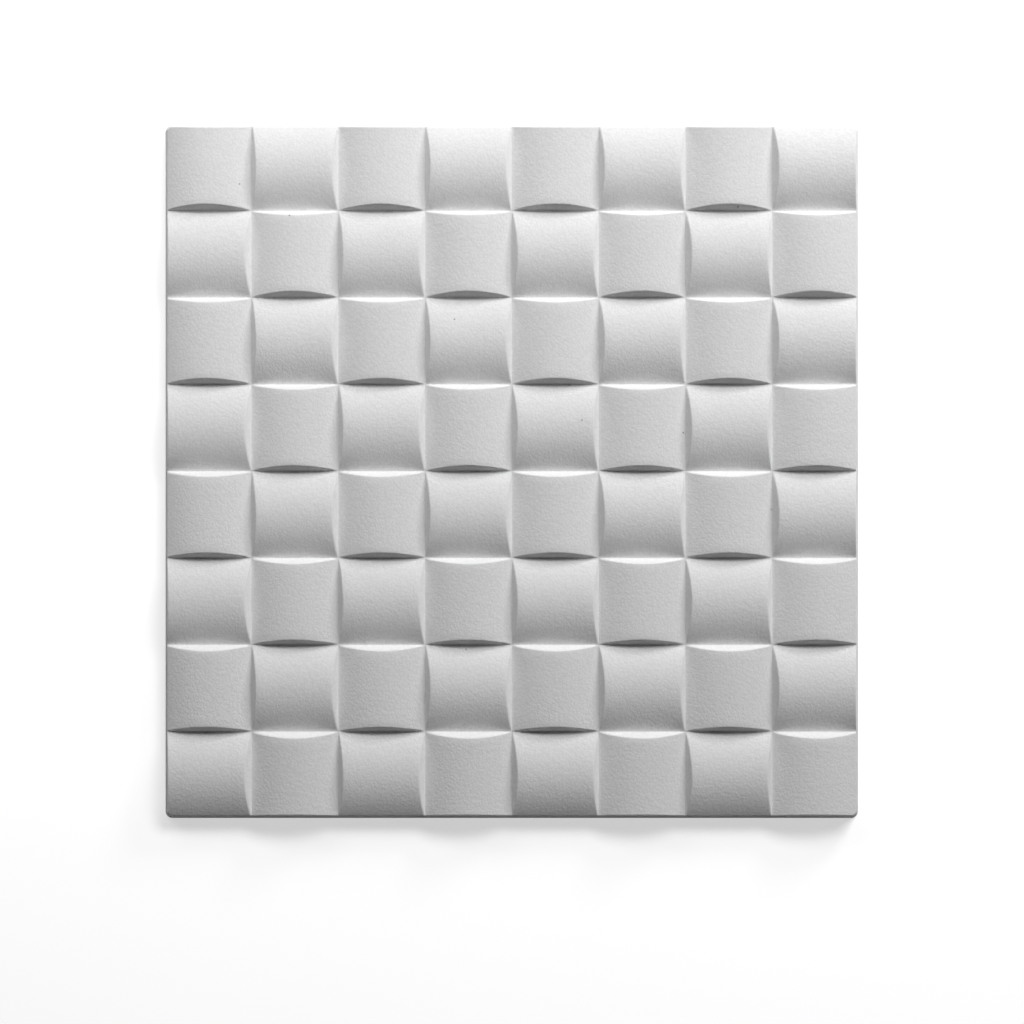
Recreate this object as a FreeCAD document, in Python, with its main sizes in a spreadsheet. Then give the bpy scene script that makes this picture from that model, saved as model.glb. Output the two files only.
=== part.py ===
import FreeCAD, Part
import os
import Sketcher

# 3D wall panel tile, moulded in one piece from expanded polystyrene.
# The face is a basket weave: square cells that arch in turn along and across the panel.
# Millimetres. The flat back lies on z = 0, +Z points out of the wall and +Y is up on the wall.
# The origin is the centre of the back.

SIZES = [
    # alias, value, what it is
    ("cell_pitch", 62.15, "side of one square cell of the weave"),
    ("weave_repeats", 4, "weave units of two by two cells along each side"),
    ("backing_thickness", 12.5, "back to the floor of the valleys between cells"),
    ("crown_rise", 7.5, "floor of the valleys to the crown of each arch"),
    ("flank_draft", 26.5, "degrees that the flanks of an arch lean back from the upright"),
    ("valley_depth", 0.4, "how deep the floor fills the crease between an arch and a flank"),
    ("crest_bevel", 0.6, "width of the bevel on each face where an arch meets a flank"),
    ("edge_margin", 1.4, "outermost cells to the outline of the back"),
    ("edge_draft", 13, "degrees that the four edges lean back from the upright"),
    ("lip_width", 0.7, "flat lip round the foot of the edges"),
    ("lip_height", 2, "back to the top of the lip"),
    ("corner_radius", 5, "rounding of the four corners of the outline"),
]

# Lengths that follow from the sizes, as formulas on the sheet.
PITCH = "sizes.cell_pitch"
REPEATS = "round(sizes.weave_repeats)"
CREASE = "(sizes.backing_thickness - sizes.valley_depth)"
CROWN = "(sizes.backing_thickness + sizes.crown_rise)"
ROOT = "(sizes.backing_thickness / 2)"
ARCH_HEIGHT = f"({CROWN} - {CREASE})"
ARCH_RADIUS = f"((({PITCH} / 2) ^ 2 + {ARCH_HEIGHT} ^ 2) / (2 * {ARCH_HEIGHT}))"
LEAN = "tan(sizes.flank_draft * 1 deg)"
FLANK_SPREAD = f"({CREASE} * {LEAN})"
CUT_TOP = f"({CROWN} + sizes.crown_rise)"
CUT_LEAN = f"(({CUT_TOP} - {CREASE}) * {LEAN})"
PANEL_CENTRE = f"(({REPEATS} - 1) * {PITCH})"
HALF_SIDE = f"({REPEATS} * {PITCH} + sizes.edge_margin)"
WALL_FOOT = f"({HALF_SIDE} - sizes.lip_width + sizes.lip_height * tan(sizes.edge_draft * 1 deg))"
SPARE = f"({PITCH} / 4)"
FIRST_MIDDLE = f"(-{PITCH} / 2)"
LAST_MIDDLE = f"((2 * {REPEATS} - 1.5) * {PITCH})"

# The points of a sketch's line or arc, as constraints number them.
POINT = {"start": 1, "end": 2, "centre": 3}
FULL_TURN = 360
SLANT = 0.01

doc = FreeCAD.newDocument("wall_panel")
sheet = doc.addObject("Spreadsheet::Sheet", "sizes")


def fill_sheet():
    """The driving dimensions, one row each: name, value and meaning."""
    for row, (alias, number, meaning) in enumerate(SIZES, start=1):
        sheet.set(f"A{row}", alias)
        sheet.set(f"B{row}", str(number))
        sheet.set(f"C{row}", meaning)
        sheet.setAlias(f"B{row}", alias)
    doc.recompute()


def value(formula):
    """The number that a formula on the sheet gives now."""
    return float(sheet.evalExpression(formula))


def origin_feature(body, role):
    """One of the body's own origin planes or axes, by its role."""
    return next(f for f in body.Origin.OriginFeatures if f.Role == role)


def new_sketch(body, name, plane, **offsets):
    """A sketch on one of the body's origin planes, moved along the sketch's axes by formulas."""
    sketch = body.newObject("Sketcher::SketchObject", name)
    sketch.AttachmentSupport = [(origin_feature(body, plane), "")]
    sketch.MapMode = "FlatFace"
    for axis, formula in offsets.items():
        sketch.setExpression(f"AttachmentOffset.Base.{axis}", formula)
    return sketch


def dimension(sketch, formula, kind, *where):
    """Adds a dimension to a sketch and ties it to a formula on the sheet."""
    index = sketch.addConstraint(Sketcher.Constraint(kind, *where, value(formula)))
    sketch.setExpression(f"Constraints[{index}]", formula)


def place(sketch, geometry, point, x, y):
    """Ties one point of a sketch's geometry to a place given by two formulas."""
    dimension(sketch, x, "DistanceX", geometry, POINT[point])
    dimension(sketch, y, "DistanceY", geometry, POINT[point])


def join(sketch, first, following):
    """Ties the end of one line or arc of a sketch to the start of the next."""
    ends = (first, POINT["end"], following, POINT["start"])
    sketch.addConstraint(Sketcher.Constraint("Coincident", *ends))


def polygon(sketch, corners):
    """A closed polygon in a sketch. Each corner is a pair of formulas."""
    points = [FreeCAD.Vector(value(x), value(y), 0) for x, y in corners]
    sides = [
        sketch.addGeometry(Part.LineSegment(start, end))
        for start, end in zip(points, points[1:] + points[:1])
    ]
    for side, following in zip(sides, sides[1:] + sides[:1]):
        join(sketch, side, following)
    for side, (x, y) in zip(sides, corners):
        place(sketch, side, "start", x, y)


def square(sketch, first, last):
    """A square in a sketch between two formulas that hold for both of its directions."""
    polygon(sketch, [(first, first), (last, first), (last, last), (first, last)])


def rounded_square(sketch, first, last, radius):
    """A square as above with rounded corners: four sides joined by four quarter circles."""
    near, far = f"{first} + {radius}", f"{last} - {radius}"
    places = [
        (near, first), (far, first), (last, near), (last, far),
        (far, last), (near, last), (first, far), (first, near),
    ]
    points = [FreeCAD.Vector(value(x), value(y), 0) for x, y in places]
    lines = []
    for number in range(0, len(points), 2):
        line = sketch.addGeometry(Part.LineSegment(points[number], points[number + 1]))
        place(sketch, line, "start", *places[number])
        place(sketch, line, "end", *places[number + 1])
        lines.append(line)
    for line, following in zip(lines, lines[1:] + lines[:1]):
        start = sketch.getPoint(line, POINT["end"])
        end = sketch.getPoint(following, POINT["start"])
        chord = end - start
        rise = (2**0.5 - 1) / 2
        middle = (start + end) / 2 + FreeCAD.Vector(chord.y, -chord.x, 0) * rise
        arc = sketch.addGeometry(Part.Arc(start, middle, end))
        join(sketch, line, arc)
        join(sketch, arc, following)
        dimension(sketch, radius, "Radius", arc)


def pad(body, name, sketch, length, **settings):
    """Builds the area of a sketch up by a length given as a formula."""
    feature = body.newObject("PartDesign::Pad", name)
    feature.Profile = sketch
    feature.setExpression("Length", length)
    for setting, choice in settings.items():
        setattr(feature, setting, choice)
    doc.recompute()
    return feature


def cut_through(body, name, sketch):
    """Takes the area of a sketch out of the whole body, on both sides of the sketch."""
    before = body.Shape.Volume
    pocket = body.newObject("PartDesign::Pocket", name)
    pocket.Profile = sketch
    pocket.SideType = "Symmetric"
    pocket.Type = "ThroughAll"
    doc.recompute()
    if not pocket.Shape.Volume < before:
        raise RuntimeError(f"{name} takes nothing away")
    return pocket


def arch_section(sketch, middle):
    """A circle segment through the creases on either side of a cell, rooted in the backing."""
    crown, root, radius = value(CROWN), value(ROOT), value(ARCH_RADIUS)
    reach = (radius**2 - (radius - crown + root) ** 2) ** 0.5
    left = FreeCAD.Vector(value(middle) - reach, root, 0)
    right = FreeCAD.Vector(value(middle) + reach, root, 0)
    top = FreeCAD.Vector(value(middle), crown, 0)
    chord = sketch.addGeometry(Part.LineSegment(left, right))
    arc = sketch.addGeometry(Part.Arc(right, top, left))
    join(sketch, chord, arc)
    join(sketch, arc, chord)
    sketch.addConstraint(Sketcher.Constraint("Horizontal", chord))
    dimension(sketch, ROOT, "DistanceY", chord, POINT["start"])
    dimension(sketch, ARCH_RADIUS, "Radius", arc)
    place(sketch, arc, "centre", middle, f"{CROWN} - {ARCH_RADIUS}")


def make_arch(body):
    """One arch, a length of cylinder that is longer than its cell by the feet of its flanks."""
    sketch = new_sketch(body, "arch_profile", "YZ_Plane", z=f"{PITCH} / 2")
    arch_section(sketch, f"{PITCH} / 2")
    pad(body, "arch", sketch, f"{PITCH} + 2 * {FLANK_SPREAD}", SideType="Symmetric")


def cut_flanks(body):
    """Cuts the ends of the arch back to flanks that lean away from the creases."""
    sketch = new_sketch(body, "flank_section", "XZ_Plane")
    clear = f"({FLANK_SPREAD} + {PITCH} / 2)"
    polygon(sketch, [
        (f"{PITCH} + {FLANK_SPREAD}", "0"),
        (f"{PITCH} + {clear}", "0"),
        (f"{PITCH} + {clear}", CUT_TOP),
        (f"{PITCH} - {CUT_LEAN}", CUT_TOP),
    ])
    polygon(sketch, [
        (f"-{FLANK_SPREAD}", "0"),
        (CUT_LEAN, CUT_TOP),
        (f"-{clear}", CUT_TOP),
        (f"-{clear}", "0"),
    ])
    return cut_through(body, "flanks", sketch)


def bevel_crests(body, flanks):
    """Bevels the two elliptical edges where the arch meets its flanks."""
    crests = body.newObject("PartDesign::Chamfer", "crests")
    edges = [
        f"Edge{number}"
        for number, edge in enumerate(flanks.Shape.Edges, start=1)
        if isinstance(edge.Curve, Part.Ellipse)
    ]
    crests.Base = (flanks, edges)
    crests.setExpression("Size", "sizes.crest_bevel")
    doc.recompute()


def trim_to_cell(body):
    """Cuts the arch off square at the borders of its cell."""
    sketch = new_sketch(body, "cell_border", "XY_Plane")
    square(sketch, f"-{PITCH}", f"2 * {PITCH}")
    square(sketch, "0", PITCH)
    cut_through(body, "cell_trim", sketch)


def add_backing(body):
    """The square block under the arch. Its top is the floor of the valleys."""
    sketch = new_sketch(body, "cell_square", "XY_Plane")
    square(sketch, "0", PITCH)
    pad(body, "backing", sketch, "sizes.backing_thickness")


def weave_cells(body):
    """Turns the cell four ways about its corner into a weave unit."""
    unit = body.newObject("PartDesign::PolarPattern", "weave_unit")
    unit.TransformMode = "Whole shape"
    unit.Axis = (origin_feature(body, "Z_Axis"), [""])
    unit.Angle = FULL_TURN
    unit.Occurrences = 4
    body.Tip = unit
    doc.recompute()


def repeat(body, name, axis, originals=()):
    """Repeats the whole body, or some of its features, along an axis, one weave unit apart."""
    line = body.newObject("PartDesign::LinearPattern", name)
    if originals:
        line.TransformMode = "Features"
        line.Originals = originals
    else:
        line.TransformMode = "Whole shape"
    line.Direction = (origin_feature(body, axis), [""])
    line.Mode = "Spacing"
    line.setExpression("Offset", f"2 * {PITCH}")
    line.setExpression("Occurrences", REPEATS)
    body.Tip = line
    doc.recompute()


def run_out_arch(body, side, plane, depth, middle, away):
    """Carries an arch that lies at one side of the panel on to the edge, with no flank there."""
    sketch = new_sketch(body, f"{side}_profile", plane, z=depth)
    arch_section(sketch, middle)
    return pad(body, f"{side}_arch", sketch, f"{PITCH} / 2 + {SPARE}", Reversed=away)


def widen_backing(body):
    """A plain slab under all the cells that carries their backing on past the edges to be cut."""
    sketch = new_sketch(body, "slab_square", "XY_Plane", x=PANEL_CENTRE, y=PANEL_CENTRE)
    square(sketch, f"-({HALF_SIDE} + {SPARE})", f"{HALF_SIDE} + {SPARE}")
    pad(body, "slab", sketch, "sizes.backing_thickness")


def lean_edges(body):
    """Cuts the four edges of the panel back to walls that lean inwards as they rise."""
    sketch = new_sketch(body, "edge_ring", "XY_Plane", x=PANEL_CENTRE, y=PANEL_CENTRE)
    square(sketch, f"-({HALF_SIDE} + 2 * {SPARE})", f"{HALF_SIDE} + 2 * {SPARE}")
    square(sketch, f"-{WALL_FOOT}", WALL_FOOT)
    edges = body.newObject("PartDesign::Pocket", "edges")
    edges.Profile = sketch
    edges.Reversed = True
    edges.setExpression("Length", CUT_TOP)
    edges.setExpression("TaperAngle", "-sizes.edge_draft")
    doc.recompute()
    return edges


def add_lip(body):
    """The lip round the foot of the edges, with the outline of the back."""
    sketch = new_sketch(body, "outline", "XY_Plane", x=PANEL_CENTRE, y=PANEL_CENTRE)
    rounded_square(sketch, f"(-{HALF_SIDE})", HALF_SIDE, "sizes.corner_radius")
    pad(body, "lip", sketch, "sizes.lip_height")


def is_mitre(edge):
    """Whether an edge is one of the four slanting lines from the back where two leaning edges meet."""
    low, high = sorted((vertex.Point for vertex in edge.Vertexes), key=lambda point: point.z)
    run = high - low
    return low.z < SLANT and min(abs(run.x), abs(run.y), run.z) > SLANT


def round_corners(body, edges):
    """Rounds the four leaning corners about the same upright axes as the corners of the lip."""
    corners = body.newObject("PartDesign::Fillet", "corners")
    mitres = [
        f"Edge{number}"
        for number, edge in enumerate(edges.Shape.Edges, start=1)
        if is_mitre(edge)
    ]
    corners.Base = (edges, mitres)
    corners.setExpression("Radius", "sizes.corner_radius - sizes.lip_width")
    doc.recompute()


def centre_on_origin(body):
    """Moves the finished panel so that the middle of its back is the origin."""
    for axis in ("x", "y"):
        body.setExpression(f"Placement.Base.{axis}", f"-{PANEL_CENTRE}")
    doc.recompute()


def check_features():
    """Stops at any feature that failed to build."""
    for feature in doc.Objects:
        if "Invalid" in feature.State or "Error" in feature.State:
            raise RuntimeError(f"{feature.Name} failed: {feature.State}")


def export(body):
    """Writes one sub-part as a STEP file under its label."""
    if body.Shape.isNull() or not body.Shape.isValid():
        raise RuntimeError(f"{body.Label} has no valid shape")
    os.makedirs("parts", exist_ok=True)
    body.Shape.exportStep(f"parts/{body.Label}.step")


fill_sheet()
panel = doc.addObject("PartDesign::Body", "panel")
panel.Label = "panel"
panel.AllowCompound = False
make_arch(panel)
bevel_crests(panel, cut_flanks(panel))
trim_to_cell(panel)
add_backing(panel)
weave_cells(panel)
repeat(panel, "weave_row", "X_Axis")
run_out_arch(panel, "left", "YZ_Plane", FIRST_MIDDLE, FIRST_MIDDLE, True)
run_out_arch(panel, "right", "YZ_Plane", LAST_MIDDLE, f"{PITCH} / 2", False)
repeat(panel, "weave", "Y_Axis")
bottom = run_out_arch(panel, "bottom", "XZ_Plane", f"{PITCH} / 2", f"{PITCH} / 2", False)
repeat(panel, "bottom_arches", "X_Axis", [bottom])
top = run_out_arch(panel, "top", "XZ_Plane", f"-{LAST_MIDDLE}", FIRST_MIDDLE, True)
repeat(panel, "top_arches", "X_Axis", [top])
widen_backing(panel)
round_corners(panel, lean_edges(panel))
add_lip(panel)
centre_on_origin(panel)
check_features()
export(panel)
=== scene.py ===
import math

import bpy
import numpy as np
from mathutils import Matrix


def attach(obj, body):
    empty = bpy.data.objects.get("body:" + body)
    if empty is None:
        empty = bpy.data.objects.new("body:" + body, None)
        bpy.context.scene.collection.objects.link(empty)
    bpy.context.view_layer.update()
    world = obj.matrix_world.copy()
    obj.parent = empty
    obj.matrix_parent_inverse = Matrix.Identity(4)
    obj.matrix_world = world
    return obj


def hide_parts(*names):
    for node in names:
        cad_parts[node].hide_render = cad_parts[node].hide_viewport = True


# A square wall tile of white expanded polystyrene, moulded in one piece. Its face is a basket weave of
# arched cells. The tile lies on its back, and +Y is up on the wall. Lengths of the tile, its foam and the
# floor's square are millimetres, and become metres where a mesh or a pattern is made. Lamps, the camera and
# distances over the floor are in metres.

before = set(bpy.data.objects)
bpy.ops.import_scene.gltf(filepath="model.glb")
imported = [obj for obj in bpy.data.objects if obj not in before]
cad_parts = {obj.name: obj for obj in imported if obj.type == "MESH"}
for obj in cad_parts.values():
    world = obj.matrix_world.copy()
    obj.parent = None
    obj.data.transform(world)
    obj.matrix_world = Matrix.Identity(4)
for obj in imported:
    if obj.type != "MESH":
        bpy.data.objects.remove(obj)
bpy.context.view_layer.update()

METRES = 0.001

# The weave, with its heights above the back
CELLS = 8
PITCH = 62.15
HALF_CELL = PITCH / 2
VALLEY = 12.5
CREASE = 12.1
CROWN = 20.0
FLANK_LEAN = math.tan(math.radians(26.5))
ARCH_HEIGHT = CROWN - CREASE
ARCH_RADIUS = (HALF_CELL**2 + ARCH_HEIGHT**2) / (2 * ARCH_HEIGHT)
CREST_RUN = ARCH_HEIGHT * FLANK_LEAN
CREST_EASE = 1.2
SHOULDER_DROP = 0.3
SHOULDER_RUN = 5.0
VALLEY_EASE = 0.7

# The edges. EDGE_RINGS are the shares of the way down a leaning edge at which the mesh has a ring.
HALF_SIDE = 250.0
EDGE_LEAN = math.tan(math.radians(13))
EDGE_EASE = 1.0
EDGE_DROP = 1.2
EDGE_ROUNDS = 6
EDGE_RINGS = (0.06, 0.5, 0.94)
LIP_WIDTH = 0.7
LIP_HEIGHT = 2.0
LIP_EASE = 0.25
FOOT_EASE = 0.35
CORNER = 5.0
WALL_CORNER = CORNER - LIP_WIDTH

# Where the lines of the mesh run in a cell, as distances from its border. CREST_LINE is the one that
# follows the crest of an arch.
CREST_LINE = 2.3
CREST_BLEND = 1.0
CELL_LINES = np.array([
    0, 0.3, 0.7, 1.2, 1.7, 2.05, CREST_LINE, 2.55, 2.9, 3.5, 4.5, 6.2, 8.6, 11.6, 15, 19, 23, 27, HALF_CELL,
])


def soft_min(a, b, reach):
    """The lower of two heights, with the corner between them eased by a parabola where they are closer
    together than the reach: the lower one less the square of what is left of the reach over four reaches."""
    return np.minimum(a, b) - np.maximum(reach - np.abs(a - b), 0) ** 2 / (4 * reach)


def soft_max(a, b, reach):
    """The higher of two heights, eased in the same way."""
    return -soft_min(-a, -b, reach)


def arch(s):
    """Height of an arch at a distance from its middle: a circle of the arch's radius under the crown."""
    return CROWN - ARCH_RADIUS + np.sqrt(ARCH_RADIUS**2 - s**2)


def cell_places(x, y):
    """Splits points into cells. Gives s, the place across a cell's arch, t, the place along it, whether the
    arch spans the x direction, and whether the point is in the half of an outermost cell that has no flank.
    Cells of odd column plus row span x and the others span y."""
    column = np.clip(np.floor(x / PITCH + CELLS / 2), 0, CELLS - 1)
    row = np.clip(np.floor(y / PITCH + CELLS / 2), 0, CELLS - 1)
    u = x - (column - CELLS / 2 + 0.5) * PITCH
    v = y - (row - CELLS / 2 + 0.5) * PITCH
    spans_x = (column + row) % 2 == 1
    s, t = np.where(spans_x, u, v), np.where(spans_x, v, u)
    line = np.where(spans_x, row, column)
    runs_out = ((line == 0) & (t < 0)) | ((line == CELLS - 1) & (t > 0))
    return s, t, spans_x, runs_out


def woven_height(x, y):
    """Height of the woven face: the lower of a cell's arch and its leaning flank, which rises from the crease
    at the border by the distance over the tangent of its lean, and nowhere lower than the valley. Towards a
    flank the arch drops by a shoulder that grows with the square of the way into it, and with the height.
    Where an arch runs out to an edge, the flank is put too high to matter."""
    s, t, _, runs_out = cell_places(x, y)
    inside = HALF_CELL - np.abs(t)
    flank = np.where(runs_out, 2 * CROWN, CREASE + inside / FLANK_LEAN)
    rise = (arch(s) - CREASE) / ARCH_HEIGHT
    into = np.clip(1 - (inside - CREST_RUN) / SHOULDER_RUN, 0, 1)
    shoulder = np.where(runs_out, 0, SHOULDER_DROP * into**2 * np.clip(rise, 0, 1))
    return soft_max(soft_min(arch(s) - shoulder, flank, CREST_EASE), VALLEY, VALLEY_EASE)


def follow_crests(x, y):
    """Slides mesh lines along their cells so that one line lies on each crest. The crest is as far from the
    border as the arch is higher than the crease, times the tangent of the flank's lean. Lines between the
    border and the crest are stretched and lines beyond it are squeezed towards the middle of the cell."""
    s, t, spans_x, runs_out = cell_places(x, y)
    inside = HALF_CELL - np.abs(t)
    crest = soft_max((arch(s) - CREASE) * FLANK_LEAN, CREST_LINE, CREST_BLEND)
    near = inside * crest / CREST_LINE
    far = crest + (inside - CREST_LINE) * (HALF_CELL - crest) / (HALF_CELL - CREST_LINE)
    moved = np.sign(t) * (HALF_CELL - np.where(inside < CREST_LINE, near, far))
    slide = np.where(runs_out, 0, moved - t)
    return x + np.where(spans_x, 0, slide), y + np.where(spans_x, slide, 0)


def wall_inset(z):
    """How far a leaning edge stands inside the outline at a height: the width of the lip, plus the height
    over the lip times the tangent of the edge's lean."""
    return LIP_WIDTH + (z - LIP_HEIGHT) * EDGE_LEAN


def edge_reach(along, side):
    """How far out the face goes at places along an edge, where side is a pair of signs for the outward
    direction. The reach is that of the leaning edge at the height of the face there, less a small drop, and
    it is found by putting it back into its own formula a few times."""
    reach = np.full_like(along, HALF_SIDE - wall_inset(VALLEY))
    for _ in range(EDGE_ROUNDS):
        x = side[0] * reach if side[0] else along
        y = side[1] * reach if side[1] else along
        reach = HALF_SIDE - wall_inset(woven_height(x, y) - EDGE_DROP)
    return reach


def face_grid():
    """The woven face as a square grid of points, out to the top of the leaning edges, with its corners
    rounded. Gives the points and, for the ones on the rim, their places on the square of corner centres,
    from minus one to one, and their outward directions. The height is the lower of the weave and the
    leaning edge, eased."""
    one_cell = np.concatenate([CELL_LINES - HALF_CELL, (HALF_CELL - CELL_LINES[::-1])[1:-1]])
    middles = (np.arange(CELLS) - CELLS / 2 + 0.5) * PITCH
    lines = np.append((middles[:, None] + one_cell).ravel(), CELLS / 2 * PITCH)
    first_x, first_y = np.meshgrid(lines, lines)
    x, y = follow_crests(first_x, first_y)

    # The outer half of the outermost cells is stretched to end at the leaning edges.
    last_middle = middles[-1]
    centre = HALF_SIDE - wall_inset(VALLEY) - WALL_CORNER
    along = np.clip(lines, -centre, centre)
    right, left = edge_reach(along, (1, 0))[:, None], edge_reach(along, (-1, 0))[:, None]
    top, bottom = edge_reach(along, (0, 1))[None, :], edge_reach(along, (0, -1))[None, :]
    reach_x = np.where(first_x > 0, right, left)
    reach_y = np.where(first_y > 0, top, bottom)

    def stretch(place, reach):
        inner = np.minimum(np.abs(place), last_middle)
        outer = np.maximum(np.abs(place) - last_middle, 0)
        return np.sign(place) * (inner + outer * (reach - last_middle) / HALF_CELL)

    x, y = stretch(x, reach_x), stretch(y, reach_y)

    # Squares about a corner's centre become circles.
    centre_x, centre_y = reach_x - WALL_CORNER, reach_y - WALL_CORNER
    over_x, over_y = np.abs(x) - centre_x, np.abs(y) - centre_y
    corner = (over_x > 0) & (over_y > 0)
    far = np.where(corner, np.hypot(over_x, over_y), 1)
    pull = np.where(corner, np.maximum(over_x, over_y) / far, 1)
    x = np.sign(x) * np.where(corner, centre_x + over_x * pull, np.abs(x))
    y = np.sign(y) * np.where(corner, centre_y + over_y * pull, np.abs(y))

    # Distance inside the outline, and the height of the leaning edge there.
    turn = np.where(corner, over_x / far, 0) ** 2
    bent = turn * reach_x + (1 - turn) * reach_y - WALL_CORNER + far * pull
    straight = np.maximum(np.abs(x), np.abs(y))
    depth = HALF_SIDE - np.where(corner, bent, straight)
    wall = LIP_HEIGHT + (depth - LIP_WIDTH) / EDGE_LEAN
    z = soft_min(woven_height(x, y), wall, EDGE_EASE)

    places = np.stack([np.clip(x / centre_x, -1, 1), np.clip(y / centre_y, -1, 1)], axis=-1)
    faces_x = over_x > over_y
    outward = np.stack([
        np.sign(x) * np.where(corner, over_x / far, faces_x),
        np.sign(y) * np.where(corner, over_y / far, ~faces_x),
    ], axis=-1)
    return np.stack([x, y, z], axis=-1), places, outward


def rim(grid):
    """The outermost points of a square grid, once round, anticlockwise as seen from the front."""
    return np.concatenate([grid[0, :-1], grid[:-1, -1], grid[-1, :0:-1], grid[:0:-1, 0]])


def outline_ring(places, outward, half, radius, z):
    """A rounded square at a height: the square of corner centres, scaled, plus a radius along the outward
    direction."""
    flat = places * (half - radius) + outward * radius
    return np.column_stack([flat, np.full(len(flat), z)])


def tile_surface():
    """The whole skin of the tile as points and faces: the woven face, then a profile carried round its rim,
    down the leaning edges, over the lip and in across the flat back to its centre."""
    points, places, outward = face_grid()
    count = len(points)
    numbers = np.arange(count * count).reshape(count, count)
    face = np.stack([numbers[:-1, :-1], numbers[:-1, 1:], numbers[1:, 1:], numbers[1:, :-1]], axis=-1)

    top, places, outward = rim(points), rim(places), rim(outward)
    foot = outline_ring(places, outward, HALF_SIDE - LIP_WIDTH, WALL_CORNER, LIP_HEIGHT)
    rings = [top + (foot - top) * share for share in EDGE_RINGS] + [foot]
    profile = [
        (HALF_SIDE - LIP_EASE, LIP_HEIGHT),
        (HALF_SIDE, LIP_HEIGHT - LIP_EASE),
        (HALF_SIDE, FOOT_EASE),
        (HALF_SIDE - FOOT_EASE, 0),
        (HALF_SIDE - 2 * FOOT_EASE, 0),
    ]
    rings += [outline_ring(places, outward, half, half - HALF_SIDE + CORNER, z) for half, z in profile]
    rings.append(outline_ring(places, outward, HALF_SIDE / 2, CORNER / 2, 0))

    length = len(top)
    ring_numbers = count * count + np.arange(len(rings) * length).reshape(len(rings), length)
    ring_numbers = np.vstack([rim(numbers), ring_numbers])
    following = np.roll(ring_numbers, -1, axis=1)
    strips = np.stack([ring_numbers[:-1], ring_numbers[1:], following[1:], following[:-1]], axis=-1)
    middle = np.full(length, count * count + len(rings) * length)
    fan = np.column_stack([ring_numbers[-1], middle, following[-1]])

    vertices = np.concatenate([points.reshape(-1, 3), *rings, np.zeros((1, 3))])
    return vertices, face.reshape(-1, 4), strips.reshape(-1, 4), fan


def make_piece(name, vertices, *faces):
    """A smooth-shaded mesh object from points in millimetres and arrays of faces."""
    mesh = bpy.data.meshes.new(name)
    mesh.from_pydata((vertices * METRES).tolist(), [], [f for part in faces for f in part.tolist()])
    mesh.polygons.foreach_set("use_smooth", np.ones(len(mesh.polygons), dtype=bool))
    mesh.update()
    piece = bpy.data.objects.new(name, mesh)
    bpy.context.scene.collection.objects.link(piece)
    return piece


class Value:
    """A socket among the nodes of a material or the sky. Arithmetic on it adds Math nodes beside it."""

    def __init__(self, tree, socket):
        self.tree = tree
        self.socket = socket

    def node(self, kind, outputs, settings=None, **sockets):
        """Adds a node of a type, sets its settings, then its sockets, to numbers or to links, and gives the
        outputs that are asked for, a single one by itself. A socket goes by its name, or by an underscore
        and its number."""
        node = self.tree.nodes.new(kind)
        for setting, choice in (settings or {}).items():
            setattr(node, setting, choice)
        for name, given in sockets.items():
            target = node.inputs[int(name[1:]) if name[1:].isdigit() else name.replace("_", " ")]
            if isinstance(given, Value):
                self.tree.links.new(given.socket, target)
            else:
                target.default_value = given
        values = [Value(self.tree, node.outputs[output]) for output in outputs]
        return values[0] if len(values) == 1 else values

    def math(self, operation, *terms):
        """A Math node on values or numbers."""
        sockets = {f"_{number}": term for number, term in enumerate(terms)}
        return self.node("ShaderNodeMath", [0], {"operation": operation}, **sockets)

    def __add__(self, other):
        return self.math("ADD", self, other)

    def __radd__(self, other):
        return self.math("ADD", other, self)

    def __sub__(self, other):
        return self.math("SUBTRACT", self, other)

    def __rsub__(self, other):
        return self.math("SUBTRACT", other, self)

    def __mul__(self, other):
        return self.math("MULTIPLY", self, other)

    def __rmul__(self, other):
        return self.math("MULTIPLY", other, self)

    def ramp(self, low, high):
        """Nought up to the low level, one from the high level on, and an eased rise between them."""
        settings = {"interpolation_type": "SMOOTHSTEP"}
        return self.node("ShaderNodeMapRange", ["Result"], settings, Value=self, From_Min=low, From_Max=high)


def new_material(name):
    """An empty material, and a first value on it to build from."""
    material = bpy.data.materials.new(name)
    material.use_nodes = True
    material.node_tree.nodes.clear()
    return material, Value(material.node_tree, None)


def grey(level):
    """A colour without a hue, opaque."""
    return (level, level, level, 1)


# The foam, in millimetres: a bead, the finer grain, the slow changes of tone, the room for one pinhole, and
# the radii inside which the painted shade of a pinhole is darkest and outside which it ends. BEAD_SEAM is
# where a bead's seam starts and ends, in beads from its middle. PIT_RARITY is the share of places without
# a pinhole.
BEAD = 2.0
BEAD_SEAM = (0.35, 0.75)
GRAIN = 1.3
MOTTLE = 38.0
NOISE_DETAIL = 1.0
PIT_SPACING = 58.0
PIT_CORE = 0.4
PIT_END = 0.8
PIT_RARITY = 0.8

# What each of them does to the foam's tone, relief and roughness
FOAM_WHITE = 0.85
PLAIN_TONE = 0.95
BEAD_TONE = 0.03
TINT_TONE = 0.03
MOTTLE_TONE = 0.05
GRAIN_TONE = 0.06
# The darkening of a pinhole is painted shade: the hole is not in the relief, and its shade is put in the
# colour.
PIT_SHADE = 0.6
BEAD_RELIEF = 0.6
TINT_RELIEF = 0.5
GRAIN_RELIEF = 1.2
RELIEF_DEPTH = 0.1
RELIEF_STRENGTH = 0.85
PLAIN_ROUGHNESS = 0.72
GRAIN_ROUGHNESS = 0.12
BEAD_ROUGHNESS = 0.05
FOAM_GLOSS = 0.2


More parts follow.
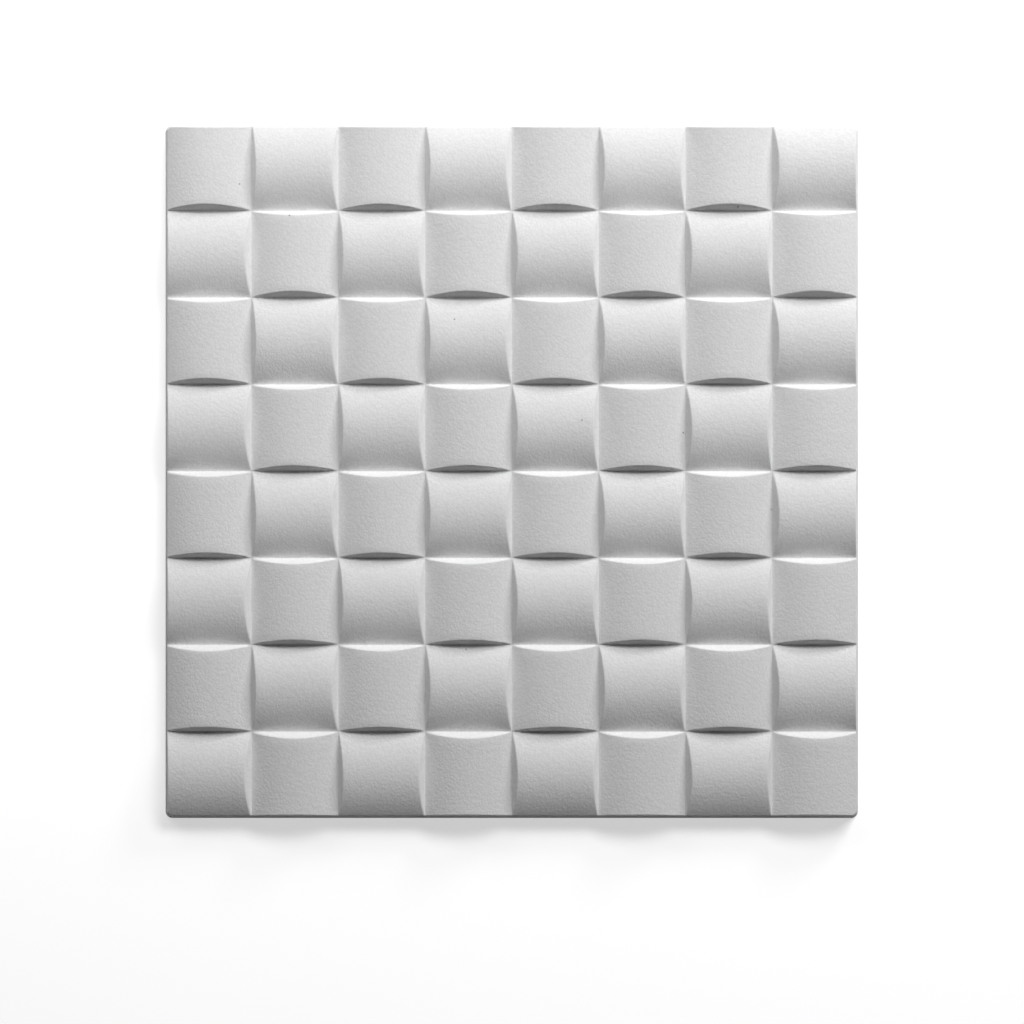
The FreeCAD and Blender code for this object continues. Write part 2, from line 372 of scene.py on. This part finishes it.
def foam_material():
    """White fine-bead foam: beads pressed together with fine seams between them, a finer grain, slow changes
    of tone, and a pinhole here and there where a bead is missing. The relief is a sum of the beads' middles,
    each bead's own tint and the grain. The tone is such a sum with the slow changes in it. The pinholes are
    not in the relief; painted shade darkens the tone there."""
    material, nodes = new_material("white_foam")
    place = nodes.node("ShaderNodeTexCoord", ["Object"])

    def noise(size):
        """Soft noise with changes of about a size, from nought to one."""
        scale = 1 / (size * METRES)
        return nodes.node("ShaderNodeTexNoise", ["Fac"], Vector=place, Scale=scale, Detail=NOISE_DETAIL)

    def scatter(spacing, dimensions):
        """Points scattered about a spacing apart: the distance from the nearest one, in spacings, and the
        colour that each one has of its own."""
        settings = {"feature": "F1", "voronoi_dimensions": dimensions}
        scale = 1 / (spacing * METRES)
        return nodes.node("ShaderNodeTexVoronoi", ["Distance", "Color"], settings, Vector=place, Scale=scale)

    from_bead, bead_colour = scatter(BEAD, "3D")
    pressed = 1 - from_bead.ramp(*BEAD_SEAM)
    tint = nodes.node("ShaderNodeSeparateColor", ["Red"], Color=bead_colour)
    grain = noise(GRAIN)
    mottle = noise(MOTTLE)

    # A point's red and green go with its place in the pattern, so its blue decides on a pinhole.
    from_pit, pit_colour = scatter(PIT_SPACING, "2D")
    chance = nodes.node("ShaderNodeSeparateColor", ["Blue"], Color=pit_colour)
    spot = 1 - from_pit.ramp(PIT_CORE / PIT_SPACING, PIT_END / PIT_SPACING)
    pit_shade = chance.ramp(PIT_RARITY, 1.0) * spot

    tone = PLAIN_TONE + BEAD_TONE * pressed + TINT_TONE * tint
    tone = tone + MOTTLE_TONE * (mottle - 0.5) + GRAIN_TONE * (grain - 0.5)
    # Painted shade: the colour is darkened at each pinhole, in place of the shade inside the hole.
    tone = tone * (1 - PIT_SHADE * pit_shade)
    multiply = {"data_type": "RGBA", "blend_type": "MULTIPLY"}
    colour = nodes.node("ShaderNodeMix", [2], multiply, _0=1.0, _6=grey(FOAM_WHITE), _7=tone)
    relief = nodes.node(
        "ShaderNodeBump", ["Normal"],
        Strength=RELIEF_STRENGTH,
        Distance=RELIEF_DEPTH * METRES,
        Height=BEAD_RELIEF * pressed + TINT_RELIEF * tint + GRAIN_RELIEF * grain,
    )
    foam = nodes.node(
        "ShaderNodeBsdfPrincipled", ["BSDF"],
        Base_Color=colour,
        Roughness=PLAIN_ROUGHNESS + GRAIN_ROUGHNESS * grain - BEAD_ROUGHNESS * pressed,
        Specular_IOR_Level=FOAM_GLOSS,
        Normal=relief,
    )
    nodes.node("ShaderNodeOutputMaterial", [], Surface=foam)
    return material


# The floor and the sky: a square just under the tile's back, its own light near the tile and the distances
# between which that light rises to white, and the sky's light on the tile.
FLOOR_REACH = 6000.0
FLOOR_LEVEL = -0.2
FLOOR_WHITE = 0.9
NEAR_GLOW = 0.56
GLOW_RISE = (0.6, 2.4)
SKY_LIGHT = 0.02


def seen_rays(nodes):
    """One for rays from the camera and those that show in gloss or through glass, and nought for other
    light."""
    names = ["Is Camera Ray", "Is Glossy Ray", "Is Transmission Ray"]
    straight, gloss, through = nodes.node("ShaderNodeLightPath", names)
    return nodes.math("MAXIMUM", straight, nodes.math("MAXIMUM", gloss, through))


def floor_material():
    """A plain white floor that keeps the shadow. Seen straight or in gloss, a little of its own light takes
    it to white, and more of it far from the lamps."""
    material, nodes = new_material("studio_floor")
    place = nodes.node("ShaderNodeTexCoord", ["Object"])
    away = nodes.node("ShaderNodeVectorMath", ["Value"], {"operation": "LENGTH"}, _0=place)
    own_light = NEAR_GLOW + (1 - NEAR_GLOW) * away.ramp(*GLOW_RISE)
    strength = own_light * seen_rays(nodes)
    diffuse = nodes.node("ShaderNodeBsdfDiffuse", ["BSDF"], Color=grey(FLOOR_WHITE))
    glow = nodes.node("ShaderNodeEmission", ["Emission"], Color=grey(1), Strength=strength)
    both = nodes.node("ShaderNodeAddShader", [0], _0=diffuse, _1=glow)
    nodes.node("ShaderNodeOutputMaterial", [], Surface=both)
    return material


def build_tile():
    """The tile, which stands for the whole solid."""
    tile = make_piece("woven_tile", *tile_surface())
    tile.data.materials.append(foam_material())
    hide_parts("panel")
    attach(tile, "root")


def build_floor():
    """A wide flat square under the tile."""
    corners = np.array([(-1, -1), (1, -1), (1, 1), (-1, 1)]) * FLOOR_REACH
    level = np.full(len(corners), FLOOR_LEVEL)
    floor = make_piece("studio_floor", np.column_stack([corners, level]), np.array([[0, 1, 2, 3]]))
    floor.data.materials.append(floor_material())


def hang_lamp(name, turn, rise, distance, width, height, watts):
    """A soft rectangular lamp that faces the tile, at a distance from the tile's centre. Turn is its angle
    clockwise from the top of the tile and rise its angle above the floor, in degrees."""
    lamp = bpy.data.lights.new(name, "AREA")
    lamp.shape = "RECTANGLE"
    lamp.size = width
    lamp.size_y = height
    lamp.energy = watts
    piece = bpy.data.objects.new(name, lamp)
    turn, rise = math.radians(turn), math.radians(rise)
    level = distance * math.cos(rise)
    piece.location = (level * math.sin(turn), level * math.cos(turn), distance * math.sin(rise))
    piece.rotation_mode = "QUATERNION"
    piece.rotation_quaternion = piece.location.to_track_quat("Z", "Y")
    bpy.context.scene.collection.objects.link(piece)


def build_light():
    """Soft lamps beyond the top edge of the tile, a low one and a wide far one to the right and a wide near
    one to the left, and a weak even sky that is white where it is seen."""
    hang_lamp("low_right_lamp", turn=35, rise=20, distance=1.7, width=0.55, height=0.42, watts=10.7)
    hang_lamp("far_right_lamp", turn=32, rise=43, distance=3.0, width=1.6, height=0.8, watts=50.5)
    hang_lamp("left_lamp", turn=-38, rise=35, distance=1.1, width=0.85, height=0.35, watts=3.35)

    world = bpy.data.worlds.new("pale_sky")
    world.use_nodes = True
    world.node_tree.nodes.clear()
    nodes = Value(world.node_tree, None)
    strength = SKY_LIGHT + (1 - SKY_LIGHT) * seen_rays(nodes)
    sky = nodes.node("ShaderNodeBackground", ["Background"], Color=grey(1), Strength=strength)
    nodes.node("ShaderNodeOutputWorld", [], Surface=sky)
    bpy.context.scene.world = world


# The camera: its sensor and lens in millimetres, and its place in metres
SENSOR = 36.0
LENS = 65.65
CAMERA_PLACE = (0.0001, -0.0292, 1.35)


def build_camera():
    """A long lens straight above the tile, with the top of the tile at the top of the picture."""
    lens = bpy.data.cameras.new("camera")
    lens.sensor_width = SENSOR
    lens.lens = LENS
    camera = bpy.data.objects.new("camera", lens)
    camera.location = CAMERA_PLACE
    bpy.context.scene.collection.objects.link(camera)
    bpy.context.scene.camera = camera


build_tile()
build_floor()
build_light()
build_camera()
bpy.context.scene.view_settings.view_transform = "Standard"
